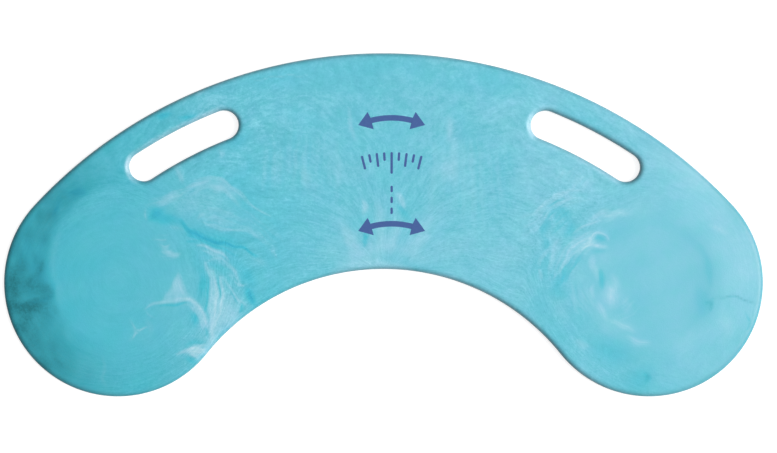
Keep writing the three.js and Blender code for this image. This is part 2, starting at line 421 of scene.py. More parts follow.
# Each stroke is strength, half width in pixels, and the pixels that it runs through.
pale_strokes = [
    (0.34, 2.2, [(147, 205), (158, 202), (168, 199), (178, 195), (188, 190)]),
    (0.30, 1.4, [(150, 200), (163, 197), (174, 192), (186, 188)]),
    (0.55, 2.2, [(186, 187), (194, 185), (202, 183), (209, 180)]),
    (0.35, 1.6, [(196, 180), (205, 178), (214, 177), (222, 181)]),
    (0.40, 4.5, [(213, 189), (219, 190), (224, 190)]),
    (0.55, 2.0, [(222, 182), (232, 188), (240, 194), (247, 201), (253, 207)]),
    (0.50, 1.4, [(250, 204), (257, 209), (264, 213), (272, 216)]),
    (0.15, 9.0, [(168, 206), (184, 199), (202, 193), (218, 194), (236, 203)]),
    (0.15, 9.0, [(176, 214), (194, 207), (212, 205), (230, 211), (250, 222)]),
    (0.14, 8.0, [(198, 218), (214, 217), (232, 221), (254, 230)]),
    (0.35, 1.3, [(203, 222), (214, 228), (228, 230), (241, 230), (256, 235), (268, 243)]),
    (0.35, 1.8, [(196, 219), (200, 215), (206, 212)]),
    (0.40, 1.4, [(145, 208), (145, 214), (147, 220)]),
    (0.32, 2.0, [(170, 227), (176, 229), (183, 231)]),
    (0.28, 1.6, [(152, 240), (160, 240), (166, 238)]),
    (0.40, 1.8, [(158, 244), (164, 246), (170, 243)]),
    (0.75, 3.0, [(163, 250), (169, 252), (175, 254), (180, 253)]),
    (0.75, 1.6, [(197, 246), (204, 246), (211, 249), (218, 252), (224, 256), (228, 260)]),
    (0.45, 1.2, [(203, 251), (210, 253), (217, 255)]),
    (0.50, 1.3, [(207, 262), (214, 258), (221, 260), (227, 264)]),
    (0.45, 1.4, [(226, 261), (233, 270), (240, 280), (244, 286)]),
    (0.50, 1.2, [(224, 263), (229, 268), (235, 273)]),
    (0.55, 1.6, [(236, 282), (241, 285), (246, 285)]),
    (0.35, 2.0, [(272, 248), (274, 253), (277, 259)]),
    (0.28, 4.0, [(254, 258), (260, 262), (266, 266)]),
    (0.26, 4.2, [(178, 274), (178, 284), (177, 292), (176, 299)]),
    (0.36, 4.0, [(178, 280), (182, 288), (187, 297)]),
    (0.34, 4.0, [(176, 283), (171, 291), (164, 299)]),
    (0.26, 5.0, [(166, 299), (176, 296), (187, 298)]),
    (0.65, 2.2, [(160, 302), (168, 301), (177, 300), (186, 298)]),
    (0.60, 1.4, [(144, 309), (151, 306), (159, 303), (168, 302)]),
    (0.95, 2.6, [(183, 299), (190, 299), (196, 304), (201, 311), (204, 319), (207, 327)]),
    (0.50, 1.2, [(190, 307), (195, 312), (199, 319)]),
    (0.40, 4.0, [(184, 301), (192, 304), (199, 311)]),
    (0.45, 3.0, [(205, 315), (206, 323), (207, 330)]),
    (0.45, 1.8, [(205, 261), (208, 268), (211, 276)]),
    (0.34, 3.2, [(212, 268), (213, 282), (213, 300), (213, 318), (213, 334)]),
    (0.75, 2.2, [(214, 271), (216, 285), (216, 300), (214, 316), (211, 332)]),
    (0.75, 2.0, [(221, 277), (222, 291), (221, 306), (217, 320), (213, 334)]),
    (0.46, 7.0, [(219, 282), (221, 298), (220, 314), (216, 332)]),
    (0.26, 7.0, [(230, 292), (231, 304), (226, 318)]),
    (0.32, 6.0, [(236, 298), (240, 306), (233, 318), (224, 328)]),
    (0.42, 6.0, [(218, 318), (214, 334), (208, 346)]),
    (0.45, 1.2, [(223, 277), (230, 288), (237, 298), (246, 306)]),
    (0.40, 4.0, [(211, 332), (213, 339), (210, 346)]),
    (0.75, 1.5, [(177, 355), (186, 351), (195, 348), (204, 344)]),
    (0.90, 4.4, [(188, 352), (197, 350), (206, 350)]),
    (0.45, 2.2, [(190, 354), (197, 357), (203, 359)]),
    (0.55, 1.4, [(130, 322), (133, 328), (134, 333), (131, 340)]),
    (0.55, 1.3, [(134, 333), (139, 331), (146, 328)]),
    (0.25, 4.0, [(148, 321), (150, 328), (150, 333)]),
    (0.25, 1.0, [(146, 311), (150, 316), (156, 318)]),
    (0.30, 1.6, [(102, 358), (104, 368), (103, 378), (106, 385)]),
    (0.45, 3.6, [(178, 170), (181, 175), (182, 181)]),
    (0.28, 3.0, [(220, 148), (222, 152), (221, 156)]),
    (0.30, 1.2, [(254, 81), (270, 77), (288, 75), (308, 75)]),
    (0.16, 3.5, [(60, 232), (55, 248), (53, 264), (55, 280)]),
    (0.16, 4.5, [(60, 282), (58, 292), (60, 302)]),
    (0.42, 7.0, [(342, 226), (350, 238), (358, 252)]),
    (0.36, 8.0, [(428, 222), (420, 236), (410, 250)]),
    (0.30, 6.0, [(396, 214), (394, 232), (390, 250)]),
    (0.60, 1.8, [(363, 201), (365, 207), (364, 214)]),
    (0.55, 2.0, [(398, 193), (402, 200), (405, 209)]),
    (0.38, 6.0, [(378, 206), (380, 222), (382, 244)]),
    (0.26, 8.0, [(344, 260), (364, 252), (384, 248), (404, 252), (424, 260)]),
    (0.30, 2.2, [(350, 108), (351, 122), (353, 138)]),
    (0.30, 5.0, [(303, 168), (306, 176), (307, 184)]),
    (0.32, 8.0, [(446, 158), (449, 168), (447, 180)]),
    (0.14, 13.0, [(452, 138), (460, 152), (466, 168)]),
    (0.32, 3.4, [(449, 118), (450, 128), (447, 142)]),
    (0.28, 1.4, [(522, 218), (532, 214), (541, 207), (546, 199)]),
    (0.36, 2.0, [(540, 266), (541, 259), (545, 253), (550, 247)]),
    (0.40, 1.8, [(539, 270), (540, 275), (540, 280)]),
    (0.30, 2.6, [(551, 272), (552, 261), (553, 251), (557, 243), (561, 238)]),
    (0.30, 1.6, [(561, 266), (566, 257), (571, 250), (577, 245)]),
    (0.30, 1.6, [(552, 280), (558, 273), (563, 267), (570, 259), (579, 251)]),
    (0.35, 3.0, [(570, 258), (575, 254), (580, 250)]),
    (0.45, 1.2, [(572, 234), (580, 229), (590, 224), (601, 221)]),
    (0.36, 2.6, [(590, 221), (597, 216), (603, 212), (610, 209)]),
    (0.38, 1.2, [(602, 215), (614, 215), (628, 213)]),
    (0.55, 2.0, [(586, 245), (591, 238), (598, 233), (605, 235), (609, 240)]),
    (0.66, 2.2, [(582, 249), (590, 245), (599, 246), (608, 247)]),
    (0.50, 7.0, [(572, 248), (584, 243), (592, 240)]),
    (0.40, 3.0, [(592, 256), (593, 264), (596, 272), (598, 280)]),
    (0.35, 2.0, [(593, 286), (592, 291), (594, 297)]),
    (0.35, 4.0, [(613, 276), (616, 283), (613, 290)]),
    (0.50, 6.5, [(609, 285), (611, 295), (612, 305)]),
    (0.36, 3.2, [(598, 303), (602, 311), (607, 319)]),
    (0.40, 3.0, [(612, 321), (620, 325), (627, 328), (633, 332)]),
    (0.38, 3.0, [(628, 338), (636, 341), (643, 343), (650, 343)]),
    (0.30, 4.0, [(576, 342), (583, 344), (590, 346)]),
    (0.30, 3.0, [(709, 226), (718, 229), (727, 232)]),
    (0.07, 14.0, [(736, 245), (740, 262), (741, 282)]),
    (0.16, 12.0, [(712, 214), (724, 222), (732, 236)]),
    (0.18, 6.0, [(722, 312), (727, 326), (726, 340)]),
    (0.12, 10.0, [(690, 340), (684, 352), (690, 366)]),
    (0.16, 13.0, [(550, 228), (560, 250), (568, 276)]),
    (0.14, 11.0, [(596, 312), (616, 322), (636, 330)]),
]

blue_strokes = [
    (0.40, 7.0, [(152, 210), (157, 214), (161, 219)]),
    (0.34, 5.0, [(149, 219), (156, 214), (163, 210)]),
    (0.34, 5.5, [(158, 222), (164, 221), (170, 218)]),
    (0.14, 6.0, [(163, 214), (170, 219), (178, 223)]),
    (0.30, 2.4, [(14, 307), (26, 305), (38, 302), (50, 296)]),
    (0.18, 3.0, [(52, 282), (54, 292), (50, 300)]),
    (0.20, 4.0, [(166, 216), (176, 221), (186, 226)]),
    (0.62, 2.2, [(181, 221), (187, 229), (194, 235), (202, 239)]),
    (0.58, 1.6, [(200, 238), (212, 241), (225, 243), (236, 247), (246, 249), (257, 256)]),
    (0.36, 8.0, [(196, 232), (214, 236), (230, 241), (243, 246)]),
    (0.35, 1.2, [(186, 241), (193, 242), (200, 243)]),
    (0.35, 4.0, [(205, 254), (214, 262), (224, 272)]),
    (0.20, 6.0, [(195, 252), (199, 268), (202, 286), (201, 300)]),
    (0.30, 7.0, [(243, 268), (250, 280), (254, 292)]),
    (0.75, 4.2, [(247, 291), (251, 298), (254, 304)]),
    (0.45, 1.1, [(160, 306), (170, 305), (180, 304), (187, 302), (193, 306)]),
    (0.45, 4.0, [(193, 312), (195, 319), (194, 325)]),
    (0.50, 1.2, [(207, 274), (208, 290), (208, 304), (205, 312)]),
    (0.60, 0.9, [(219, 278), (219, 287), (219, 297)]),
    (0.40, 1.0, [(230, 290), (234, 297), (237, 303)]),
    (0.60, 2.2, [(242, 305), (241, 309), (240, 313)]),
    (0.35, 3.0, [(188, 345), (195, 343), (203, 341)]),
    (0.45, 3.4, [(186, 359), (191, 361), (196, 359)]),
    (0.30, 2.0, [(206, 326), (207, 332), (207, 338)]),
    (0.30, 1.0, [(240, 246), (250, 252), (256, 258)]),
    (0.50, 3.4, [(158, 117), (164, 116), (170, 115)]),
    (0.45, 3.0, [(180, 118), (188, 117), (196, 114)]),
    (0.40, 4.0, [(66, 194), (76, 193), (86, 192)]),
    (0.40, 3.0, [(60, 198), (56, 207), (53, 216)]),
    (0.55, 2.6, [(366, 231), (366, 238), (366, 246)]),
    (0.30, 3.0, [(400, 206), (405, 213), (411, 218)]),
    (0.28, 4.6, [(562, 210), (566, 213), (568, 218)]),
    (0.34, 4.4, [(549, 219), (545, 226), (542, 233)]),
    (0.34, 4.8, [(571, 222), (570, 230), (565, 235)]),
    (0.30, 4.0, [(545, 238), (546, 243), (547, 248)]),
    (0.28, 3.6, [(566, 272), (560, 280), (556, 286)]),
    (0.26, 6.5, [(553, 284), (556, 290), (562, 294)]),
    (0.42, 3.2, [(595, 239), (600, 237), (606, 239)]),
    (0.18, 2.5, [(590, 251), (598, 251), (606, 250)]),
    (0.50, 3.4, [(601, 272), (602, 280), (602, 288)]),
    (0.25, 12.0, [(590, 340), (608, 352), (628, 358)]),
    (0.25, 10.0, [(648, 372), (640, 380), (632, 386)]),
    (0.20, 16.0, [(335, 70), (383, 66), (432, 72)]),
    (0.12, 12.0, [(500, 84), (520, 88), (545, 96)]),
    (0.16, 15.0, [(548, 260), (560, 268), (570, 282)]),
    (0.35, 2.2, [(706, 302), (711, 304), (710, 311)]),
    (0.35, 2.6, [(645, 374), (649, 378), (646, 383)]),
    (0.14, 4.0, [(701, 246), (708, 262), (711, 284)]),
    (0.20, 7.0, [(700, 288), (701, 298), (704, 312)]),
    (0.20, 1.2, [(712, 300), (724, 297), (736, 297), (748, 301), (757, 304)]),
    (0.30, 1.2, [(746, 312), (750, 322), (747, 330)]),
]

dark_strokes = [
    (0.11, 2.6, [(14, 306), (26, 305), (38, 302), (48, 299), (54, 292)]),
    (0.07, 3.0, [(31, 281), (40, 283), (49, 286), (54, 292), (53, 300)]),
    (0.13, 5.5, [(10, 303), (17, 308), (26, 311)]),
    (0.08, 6.0, [(32, 288), (42, 291), (50, 294)]),
    (0.11, 1.4, [(50, 302), (55, 308), (58, 314)]),
    (0.11, 1.2, [(30, 306), (36, 310), (44, 312)]),
    (0.10, 1.2, [(20, 316), (30, 318), (36, 314)]),
    (0.11, 2.2, [(20, 326), (26, 334), (32, 344)]),
    (0.09, 1.6, [(12, 292), (18, 295), (22, 292)]),
    (0.10, 3.0, [(42, 262), (40, 272), (36, 280)]),
    (0.09, 2.0, [(34, 252), (36, 258), (34, 264)]),
    (0.08, 4.0, [(50, 222), (48, 236), (46, 250)]),
    (0.08, 3.0, [(60, 198), (52, 210), (46, 222)]),
    (0.07, 5.0, [(18, 262), (16, 278), (15, 296)]),
    (0.07, 4.0, [(48, 352), (58, 362), (70, 370)]),
    (0.06, 4.0, [(24, 222), (34, 206), (46, 192)]),
    (0.25, 1.1, [(713, 300), (724, 297), (736, 297), (748, 301), (757, 304)]),
    (0.22, 1.6, [(706, 302), (711, 304), (710, 310)]),
    (0.20, 1.6, [(646, 374), (649, 377), (646, 382)]),
    (0.15, 8.0, [(12, 292), (19, 309), (28, 334)]),
    (-0.29, 11.0, [(36, 192), (25, 222), (28, 270)]),
]

# Broad soft fields of colour: paler where the strength is above 0 and bluer where it is below.
broad_strokes = [
    (-0.24, 24.0, [(222, 184), (250, 206), (264, 240), (262, 290)]),
    (-0.13, 16.0, [(256, 98), (294, 74), (338, 84)]),
    (-0.14, 16.0, [(430, 92), (470, 76), (510, 100)]),
    (-0.18, 13.0, [(572, 102), (606, 124), (638, 150)]),
    (-0.11, 16.0, [(502, 184), (508, 210), (506, 234)]),
    (-0.15, 12.0, [(140, 378), (156, 371), (172, 364)]),
    (-0.11, 24.0, [(40, 272), (84, 282), (92, 320), (82, 356)]),
    (0.11, 14.0, [(322, 144), (330, 160), (338, 178)]),
    (0.10, 16.0, [(316, 258), (332, 250), (350, 246)]),
    (0.09, 18.0, [(420, 252), (450, 249), (505, 254)]),
    (0.08, 14.0, [(438, 180), (434, 206), (434, 230)]),
    (0.12, 11.0, [(176, 334), (190, 341), (198, 352)]),
    (0.09, 12.0, [(146, 304), (157, 312), (168, 322)]),
    (0.10, 10.0, [(170, 110), (190, 101), (214, 92)]),
    (0.09, 18.0, [(636, 206), (646, 228), (652, 256)]),
    (0.08, 13.0, [(562, 286), (578, 281), (596, 278)]),
    (-0.19, 9.0, [(229, 256), (237, 268), (244, 282)]),
    (-0.18, 9.0, [(225, 142), (237, 138), (251, 133)]),
    (0.20, 8.0, [(198, 324), (203, 336), (206, 350)]),
    (-0.15, 8.0, [(560, 109), (580, 119), (602, 131)]),
    (-0.16, 11.0, [(288, 111), (302, 116), (318, 122)]),
    (-0.16, 9.0, [(260, 302), (270, 292), (282, 280)]),
    (-0.15, 9.0, [(222, 219), (235, 225), (248, 229)]),
    (0.17, 10.0, [(551, 288), (558, 304), (565, 320)]),
    (-0.13, 12.0, [(246, 80), (276, 79), (302, 86)]),
    (0.14, 14.0, [(670, 156), (690, 172), (720, 198)]),
    (0.13, 9.0, [(132, 325), (141, 335), (152, 343)]),
    (-0.12, 12.0, [(54, 294), (64, 308), (76, 324)]),
    (-0.12, 10.0, [(234, 177), (247, 173), (260, 167)]),
    (-0.12, 10.0, [(455, 108), (461, 122), (465, 138)]),
    (0.13, 8.0, [(177, 303), (187, 298), (196, 291)]),
    (-0.12, 10.0, [(276, 204), (290, 202), (304, 195)]),
    (-0.11, 10.0, [(74, 381), (90, 387), (106, 389)]),
    (-0.10, 10.0, [(116, 389), (134, 389), (152, 385)]),
    (-0.12, 10.0, [(340, 92), (366, 88), (396, 88)]),
    (-0.10, 10.0, [(478, 81), (502, 74), (522, 83)]),
    (0.11, 9.0, [(547, 223), (559, 217), (571, 211)]),
    (-0.11, 9.0, [(521, 205), (529, 214), (535, 225)]),
    (0.11, 10.0, [(453, 175), (461, 183), (469, 193)]),
    (0.36, 6.5, [(334, 271), (369, 263), (406, 269)]),
    (0.11, 11.0, [(589, 242), (600, 256), (607, 272)]),
    (0.10, 9.0, [(611, 293), (622, 298), (633, 303)]),
    (0.10, 8.0, [(183, 359), (191, 363), (201, 365)]),
    (-0.10, 9.0, [(181, 235), (189, 242), (197, 249)]),
    (-0.09, 9.0, [(654, 388), (668, 389), (682, 386)]),
    (0.14, 9.0, [(198, 115), (208, 109), (224, 101)]),
    (0.11, 9.0, [(561, 261), (571, 269), (581, 277)]),
    (0.11, 8.0, [(159, 306), (169, 305), (179, 304)]),
    (-0.11, 8.0, [(223, 253), (234, 256), (245, 262)]),
    (-0.10, 8.0, [(229, 148), (237, 144), (247, 142)]),
    (-0.11, 9.0, [(221, 186), (231, 183), (243, 180)]),
    (-0.11, 9.0, [(433, 140), (442, 137), (453, 136)]),
    (-0.10, 9.0, [(451, 86), (461, 87), (473, 90)]),
    (-0.11, 8.0, [(347, 246), (357, 245), (367, 246)]),
]

# Each sheaf of hairs is strength, half width in pixels, how many hairs, and its first and last hair.
pale_sheaves = [
    (0.18, 1.1, 7, [(147, 203), (160, 199), (172, 194), (186, 188)],
     [(150, 209), (163, 205), (176, 201), (192, 197)]),
    (0.20, 1.3, 10, [(186, 186), (198, 180), (211, 177), (223, 181), (237, 191), (252, 204)],
     [(190, 198), (201, 191), (212, 189), (222, 193), (233, 202), (248, 215)]),
    (0.16, 1.2, 9, [(198, 210), (214, 208), (230, 213), (248, 222), (264, 232)],
     [(196, 222), (212, 227), (230, 231), (248, 234), (268, 243)]),
    (0.16, 1.3, 9, [(246, 206), (258, 214), (270, 222), (284, 236)],
     [(238, 226), (252, 232), (264, 242), (276, 256)]),
    (0.24, 1.0, 7, [(198, 245), (211, 248), (222, 253), (229, 261)],
     [(203, 257), (211, 262), (219, 268), (225, 276)]),
    (0.26, 1.0, 5, [(227, 262), (237, 272), (246, 285)], [(221, 268), (229, 277), (237, 288)]),
    (0.14, 2.6, 10, [(215, 334), (220, 318), (223, 300), (225, 284)],
     [(225, 331), (234, 321), (241, 313), (247, 307)]),
    (0.24, 1.4, 6, [(209, 266), (209, 290), (209, 312), (211, 334)],
     [(216, 268), (217, 290), (216, 312), (213, 334)]),
    (0.20, 2.6, 8, [(178, 275), (173, 285), (166, 295), (159, 303)],
     [(179, 275), (184, 285), (190, 294), (196, 302)]),
    (0.24, 1.6, 6, [(184, 300), (194, 303), (202, 314), (206, 328)],
     [(190, 310), (196, 315), (200, 324), (204, 336)]),
    (0.24, 1.4, 6, [(180, 355), (190, 350), (206, 344)], [(186, 358), (196, 356), (206, 354)]),
    (0.16, 1.2, 7, [(152, 236), (160, 234), (170, 232)], [(158, 258), (168, 260), (178, 258)]),
    (0.21, 1.0, 11, [(540, 206), (552, 196), (566, 190), (582, 188)],
     [(548, 224), (560, 211), (574, 203), (592, 199)]),
    (0.22, 1.0, 11, [(560, 262), (567, 248), (580, 236), (596, 229), (612, 226)],
     [(574, 274), (580, 260), (591, 249), (606, 244)]),
    (0.21, 1.0, 11, [(547, 284), (549, 262), (556, 246), (566, 234)],
     [(564, 286), (567, 270), (574, 257), (584, 247)]),
    (0.18, 1.0, 9, [(520, 221), (534, 213), (544, 203), (550, 194)],
     [(522, 242), (534, 234), (544, 224), (552, 213)]),
    (0.20, 1.0, 7, [(588, 223), (602, 214), (616, 210), (634, 208)],
     [(596, 227), (610, 220), (626, 216), (642, 214)]),
    (0.19, 1.1, 9, [(564, 282), (568, 298), (576, 314)], [(588, 280), (591, 296), (602, 314)]),
    (0.20, 1.0, 11, [(545, 182), (556, 169), (566, 160)], [(585, 198), (594, 185), (606, 177)]),
    (0.18, 1.2, 8, [(612, 306), (622, 300), (630, 290)], [(618, 322), (632, 316), (644, 304)]),
    (0.09, 2.6, 12, [(262, 196), (264, 160), (266, 124)], [(338, 204), (340, 165), (341, 124)]),
    (0.09, 2.6, 12, [(426, 222), (430, 180), (432, 124)], [(508, 236), (501, 190), (494, 134)]),
    (0.12, 2.2, 14, [(350, 264), (344, 244), (334, 222)], [(414, 264), (426, 246), (442, 226)]),
]

blue_sheaves = [
    (0.26, 1.2, 6, [(182, 222), (190, 230), (202, 236), (218, 240), (238, 245)],
     [(186, 236), (196, 240), (210, 245), (224, 250), (238, 258)]),
    (0.22, 1.0, 5, [(204, 262), (206, 280), (206, 300)], [(198, 264), (198, 282), (198, 300)]),
    (0.25, 1.0, 10, [(541, 212), (552, 204), (566, 198)], [(553, 236), (562, 224), (574, 214)]),
    (0.14, 0.9, 7, [(562, 262), (570, 246), (583, 234), (600, 227)],
     [(576, 270), (584, 255), (594, 246), (606, 241)]),
    (0.14, 1.0, 8, [(540, 200), (556, 188), (574, 183)], [(552, 226), (566, 208), (584, 200)]),
    (0.26, 1.0, 8, [(556, 288), (561, 272), (570, 258), (580, 250)],
     [(566, 282), (572, 270), (580, 260), (590, 252)]),
    (0.07, 2.0, 10, [(246, 200), (248, 165), (252, 130)], [(330, 204), (332, 165), (334, 124)]),
    (0.07, 2.0, 10, [(440, 226), (442, 180), (442, 130)], [(520, 214), (514, 176), (506, 134)]),
]

dark_sheaves = [
    (0.11, 0.9, 11, [(13, 302), (28, 300), (42, 296), (53, 291)],
     [(16, 314), (30, 311), (42, 309), (55, 306)]),
    (0.09, 1.0, 8, [(29, 281), (40, 281), (50, 285), (55, 294)],
     [(33, 297), (40, 293), (46, 294), (51, 299)]),
    (0.09, 1.0, 11, [(20, 308), (26, 322), (33, 338)], [(48, 301), (55, 309), (64, 318)]),
    (0.08, 1.0, 9, [(16, 296), (24, 284), (30, 270)], [(40, 280), (44, 268), (46, 254)]),
]

# Steps of the marbling along the board: how much, where the step starts and how far it takes. Those with a
# length below 0 rise towards the left. Darker and bluer to the left and paler to the right is partly the
# polymer's own tone and partly painted light from the right. The shade step at the right end is painted
# shade that tones that light down again.
tone_steps = [(0.18, -0.30, 0.5), (0.11, 0.10, 0.15), (-0.26, -0.13, -0.12), (0.05, 0.26, 0.06)]
shade_steps = [(0.075, -0.12, -0.10), (0.075, 0.26, 0.06)]
grain_steps = [(-0.5, -0.15, 0.12), (-0.55, 0.20, 0.08)]

# Crackled zones: middle and half axes in pixels, slant in degrees, how crackled, and gain of grain.
crackled_zones = [((208, 208), (66, 32), -14, 0.9, -0.45), ((568, 238), (54, 62), 0, 0.75, 0.15)]
crackle_elsewhere = 0.30

# Smooth noises: the longest and the shortest wave, and how many waves.
bend_waves = (0.05, 0.012, 18)
tone_waves = (0.16, 0.03, 24)
stream_waves = (0.14, 0.04, 20)
patch_waves = (0.07, 0.012, 20)

# Colours from 0 to 255: the melt from deepest to palest, the deep colour of the dark left end and other
# darker places, where it is partly painted shade, and the grey of the painted shade along the rims.
melt_colours = [(27, 171, 202), (59, 188, 208), (96, 193, 212), (142, 206, 225), (194, 226, 240)]
deep_colour = (3, 119, 130)
# Grey of the painted shade along the rolled rims.
painted_rim_shade_colour = (76, 80, 85)
hue_drift = (0.10, -0.012, 0.030)


def curve_through(places, steps=10):
    """A smooth curve through the places: a Catmull-Rom spline with its end points repeated."""
    knots = np.concatenate([places[:1], places, places[-1:]])
    t = np.linspace(0, 1, steps, endpoint=False)[None, :, None]
    a, b, c, d = (knots[i : len(knots) - 3 + i, None] for i in range(4))
    curve = 0.5 * (2 * b + (c - a) * t + (2 * a - 5 * b + 4 * c - d) * t**2 + (3 * b - a - 3 * c + d) * t**3)
    return np.concatenate([curve.reshape(-1, 2), places[-1:]])


def resampled(curve, shares):
    """Points at these shares of a curve's length."""
    travelled = np.concatenate([[0], np.cumsum(np.hypot(*np.diff(curve, axis=0).T))])
    travelled = travelled / travelled[-1]
    return np.stack([np.interp(shares, travelled, along) for along in curve.T], axis=1)


def hairs_of(sheaves, seed):
    """Strokes for all the hairs of the sheaves. A hair is the first curve blended into the last, cut
    to a random stretch of its length."""
    spread, drift = (0.1, 0.9), (-0.03, 0.03)
    starts, ends = (0, 0.35), (0.65, 1)
    strengths, widths = (0.5, 1.5), (0.8, 1.3)
    places_along, hair_places = 13, 7
    rng = np.random.default_rng(seed)
    share = np.linspace(0, 1, places_along)
    strokes = []
    for strength, half_width, count, first, last in sheaves:
        first, last = (resampled(curve_through(np.array(c, float)), share) for c in (first, last))
        for number in range(count):
            place = (number + rng.uniform(*spread)) / count
            blend = np.clip(place + rng.uniform(*drift) * (share - 0.5), 0, 1)
            hair = first + blend[:, None] * (last - first)
            hair = resampled(hair, np.linspace(rng.uniform(*starts), rng.uniform(*ends), hair_places))
            strokes.append((strength * rng.uniform(*strengths), half_width * rng.uniform(*widths), hair))
    return strokes


def stroke_field(spots, strokes, seed):
    """How much of the strokes lies at each spot. A stroke's profile across is exp(-(distance/width)^2),
    combed by sine waves of the distance into hairs that run along it. It swells along its length as
    the square root of a half sine, so that both ends fade out."""
    comb_lengths, combs = (0.0018, 0.0034), 3
    comb_depth, combed_half_width = 0.45, 3.5
    field = np.zeros(len(spots))
    rng = np.random.default_rng(seed)
    for strength, half_width, places in strokes:
        hairs = np.stack([rng.uniform(*comb_lengths, combs), rng.uniform(0, 2 * math.pi, combs)], axis=1)
        line = curve_through(at_pixels(places))
        width = half_width * pixel
        reach = 3 * width
        near = np.all((spots > line.min(axis=0) - reach) & (spots < line.max(axis=0) + reach), axis=1)
        which = np.flatnonzero(near)
        start, step = line[:-1], np.diff(line, axis=0)
        length = np.hypot(*step.T)
        travelled = np.concatenate([[0], np.cumsum(length)])
        offset = spots[which][:, None] - start[None]
        along = np.clip((offset * step).sum(axis=2) / (length**2), 0, 1)
        gap = offset - along[..., None] * step
        distance = np.hypot(gap[..., 0], gap[..., 1])
        nearest = distance.argmin(axis=1)
        rows = np.arange(len(which))
        off = gap[rows, nearest]
        side = np.sign(step[nearest, 0] * off[:, 1] - step[nearest, 1] * off[:, 0])
        progress = (travelled[nearest] + along[rows, nearest] * length[nearest]) / travelled[-1]
        swell = np.sqrt(np.sin(math.pi * np.clip(0.06 + 0.88 * progress, 0, 1)))
        across = side * distance[rows, nearest]
        comb = sum(np.sin(2 * math.pi * across / l + a + 3 * progress) for l, a in hairs) / combs
        here = strength * swell * bell(across, width * (0.5 + 0.5 * swell))
        here = here * (1 + comb_depth * min(1, combed_half_width / half_width) * comb)
        field[which] = field[which] + here * (1 - 0.5 * field[which])
    return field


def waves(spots, longest, shortest, count, seed):
    """Smooth noise of about unit size: a sum of sine waves of random direction, length and phase."""
    rng = np.random.default_rng(seed)
    heading = rng.uniform(0, 2 * math.pi, count)
    length = np.exp(rng.uniform(math.log(shortest), math.log(longest), count))
    phase = rng.uniform(0, 2 * math.pi, count)
    across = spots @ np.stack([np.cos(heading), np.sin(heading)])
    return np.sin(2 * math.pi * across / length + phase).sum(axis=1) * math.sqrt(2 / count)


def steps_along(x, steps):
    """The sum of the steps at each x."""
    return sum(much * smooth((x - start) / length) for much, start, length in steps)


def round_lobe(spots, side):
    """Distance from the centre of the lobe on that side, and the way to it in degrees from +X."""
    away = spots - lobe * np.array([side, 1.0])
    return np.hypot(*away.T), np.degrees(np.arctan2(away[:, 1], away[:, 0]))


def melt_stream(spots):
    """The stream function of the melt, in metres. The crescent is unrolled into a straight strip by a
    complex logarithm about the arms' common centre. In the strip, a source at the gate has the
    stream function Im ln sinh(z/2). Round each lobe it gives way to rings about the lobe's centre."""
    arms_centre = np.array([0.0, -0.265])
    gate_x = 0.0025
    gate_inset = 0.12
    stream_size = 0.127
    rings_start, rings_fade = 0.118, 0.05
    ring_level, ring_slope = 0.05, 1.1
    inner_reach = board_high.y - band_width - arms_centre[1]
    outer_reach = board_high.y - arms_centre[1]
    away = spots - arms_centre
    squeeze = math.pi / math.log(outer_reach / inner_reach)
    along = squeeze * (np.arctan2(away[:, 0], away[:, 1]) - gate_x / inner_reach)
    across = squeeze * np.log(np.hypot(*away.T) / inner_reach) + gate_inset
    source = np.log(np.sinh((along + 1j * across) / 2))
    ring, _ = round_lobe(np.stack([np.abs(spots[:, 0]), spots[:, 1]], axis=1), 1)
    ringed = smooth((rings_start - ring) / rings_fade)
    return stream_size * source.imag * (1 - ringed) + ringed * (ring_level + ring_slope * ring)


def left_crescent(spots, bent):
    """The dark crescent of the left end, about the lobe's centre, over the slope where the top falls towards
    the tip: partly the polymer's own deeper tone and partly painted shade of that slope, which turns away
    from the light. Gives how far each spot is in it, the same made patchy, and how deep it is there. It
    turns about the way to the tip, at 188 degrees."""
    tip_heading, plateau, quarter = 188, 10, 85
    fade_above, fade_below = 120, 85
    radius, radius_above, radius_below = 0.0535, 0.027, -0.006
    blend, blend_below = 0.013, 0.035
    depth_inside, depth_gain, depth_start, depth_blend = 0.38, 0.26, 0.066, 0.034
    ring, heading = round_lobe(spots, -1)
    turn = np.mod(heading - tip_heading + 180, 360) - 180
    above = np.clip(-turn / quarter, 0, 1)
    below = np.clip(turn / quarter, 0, 1)
    edge = radius + radius_above * above + radius_below * below
    crescent = smooth((ring - edge) / (blend + blend_below * below))
    faded = smooth((np.abs(turn) - plateau) / np.where(turn < 0, fade_above, fade_below))
    crescent = crescent * (1 - faded)
    patchy = crescent * (1 + 0.12 * waves(bent, *patch_waves, 15))
    return crescent, patchy, depth_inside + depth_gain * smooth((ring - depth_start) / depth_blend)


def right_disc(spots):
    """Tone of the right end about the lobe's centre: a darker disc with a fine line round its right, and
    round it a darker belt, deepest at the lower left. The belt's darkening towards the right is painted
    shade that tones down the feathered slope where the light from the right brightens it."""
    disc_radius, disc_blend = 0.057, 0.009
    belt_end, belt_fade = 0.125, 0.03
    line_radius, line_width = 0.0545, 0.004
    lower_left, right = -120, 15
    ring, heading = round_lobe(spots, 1)

    def towards(middle):
        return (0.5 + 0.5 * np.cos(np.radians(heading - middle))) ** 2

    outside = smooth((ring - disc_radius) / disc_blend)
    belt = outside * smooth((belt_end - ring) / belt_fade)
    belt = belt * (0.09 + 0.16 * towards(lower_left) + 0.05 * towards(right))
    return -0.16 * (1 - outside) - belt - 0.06 * bell(ring - line_radius, line_width) * towards(0)


